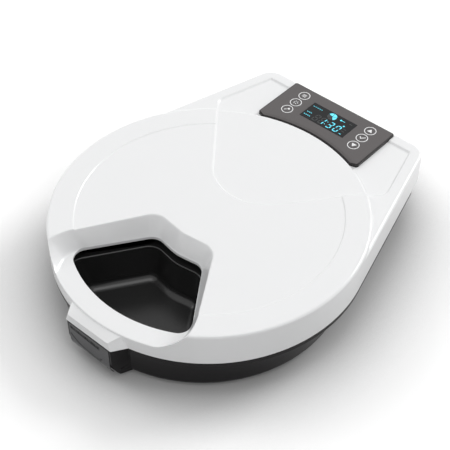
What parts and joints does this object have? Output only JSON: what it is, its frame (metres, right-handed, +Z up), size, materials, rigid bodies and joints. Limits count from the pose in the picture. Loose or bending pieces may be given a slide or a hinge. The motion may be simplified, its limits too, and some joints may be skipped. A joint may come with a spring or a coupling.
{
  "type": "pet feeder",
  "caption": "Timed rotating pet feeder: a round tray of meal compartments turns under a hinged white cover with a funnel window, a key panel and a display.",
  "frame": {"origin": "on the table, under the middle of the feeder's bounding box", "axes": "+Z up, +Y from the food window at the front towards the hinge and the display at the rear, +X to the right seen from the front"},
  "size_m": [0.3118, 0.38, 0.083],
  "materials": {
    "white_abs": "fine satin white moulding",
    "black_abs": "glossy black moulding",
    "tray_black": "glossy black food-grade moulding",
    "charcoal_abs": "matt charcoal moulding",
    "latch_grey": "glossy dark grey moulding",
    "panel_grey": "satin warm grey panel",
    "key_grey": "satin light grey key",
    "display_glass": "clear acrylic window",
    "lcd_blue": "dark display with blue figures",
    "board_green": "green circuit board",
    "steel": "plain zinc plated steel",
    "brass": "machined brass",
    "nylon": "natural nylon",
    "rubber": "matt black rubber",
    "cell_wrap": "plain grey cell wrap"
  },
  "bodies": {
    "base": {"base_tub": "black_abs", "rubber_feet": "rubber", "drive_housing": "charcoal_abs", "housing_screws": "steel", "gear_motor": "steel", "spindle_bushes": "brass", "index_switch": "black_abs", "battery_box": "black_abs", "battery_cells": "cell_wrap", "battery_contacts": "steel", "bay_cover": "charcoal_abs", "bay_screws": "steel", "contact_pins": "brass", "hinge_pins": "steel", "latch_pin": "steel", "latch_spring": "steel"},
    "tray": {"drive_spindle": "steel", "drive_gear": "nylon", "index_cam": "nylon", "food_tray": "tray_black"},
    "pinion": {"motor_pinion": "brass"},
    "cover": {"cover_shell": "white_abs", "cover_hinges": "charcoal_abs", "hinge_screws": "steel", "cover_catch": "white_abs", "control_panel": "panel_grey", "display_window": "display_glass", "lcd_module": "lcd_blue", "circuit_board": "board_green", "board_screws": "steel", "tact_switches": "charcoal_abs", "contact_block": "black_abs"},
    "mode_button": {"mode_key": "key_grey"},
    "set_button": {"set_key": "key_grey"},
    "view_button": {"view_key": "key_grey"},
    "up_button": {"up_key": "key_grey"},
    "ok_button": {"ok_key": "key_grey"},
    "down_button": {"down_key": "key_grey"},
    "latch": {"latch_flap": "latch_grey"},
    "door": {"battery_door": "black_abs"}
  },
  "joints": [
    {"name": "cover_hinge", "type": "hinge", "parent": "base", "child": "cover", "pos_m": [0, 0.184, 0.04], "axis": [-1, 0, 0], "range_deg": [0, 80]},
    {"name": "tray_turn", "type": "hinge", "parent": "base", "child": "tray", "pos_m": [0, -0.025, 0.02], "axis": [0, 0, 1], "continuous": true},
    {"name": "pinion_turn", "type": "hinge", "parent": "base", "child": "pinion", "pos_m": [0, -0.001, 0.03], "axis": [0, 0, 1], "continuous": true},
    {"name": "mode_press", "type": "slide", "parent": "cover", "child": "mode_button", "axis": [0, 0, -1], "range_m": [0, 0.0005], "stiffness_N_per_m": 900, "springref_m": -0.0002},
    {"name": "set_press", "type": "slide", "parent": "cover", "child": "set_button", "axis": [0, 0, -1], "range_m": [0, 0.0005], "stiffness_N_per_m": 900, "springref_m": -0.0002},
    {"name": "view_press", "type": "slide", "parent": "cover", "child": "view_button", "axis": [0, 0, -1], "range_m": [0, 0.0005], "stiffness_N_per_m": 900, "springref_m": -0.0002},
    {"name": "up_press", "type": "slide", "parent": "cover", "child": "up_button", "axis": [0, 0, -1], "range_m": [0, 0.0005], "stiffness_N_per_m": 900, "springref_m": -0.0002},
    {"name": "ok_press", "type": "slide", "parent": "cover", "child": "ok_button", "axis": [0, 0, -1], "range_m": [0, 0.0005], "stiffness_N_per_m": 900, "springref_m": -0.0002},
    {"name": "down_press", "type": "slide", "parent": "cover", "child": "down_button", "axis": [0, 0, -1], "range_m": [0, 0.0005], "stiffness_N_per_m": 900, "springref_m": -0.0002},
    {"name": "latch_pivot", "type": "hinge", "parent": "base", "child": "latch", "pos_m": [0, -0.1785, 0.013], "axis": [1, 0, 0], "range_deg": [0, 18], "stiffness_Nm_per_rad": 0.15, "springref_deg": -8.59},
    {"name": "door_slide", "type": "slide", "parent": "base", "child": "door", "axis": [0, 1, 0], "range_m": [0, 0.048]}
  ],
  "couplings": [
    {"joint": "pinion_turn", "follows": "tray_turn", "ratio": -4}
  ]
}
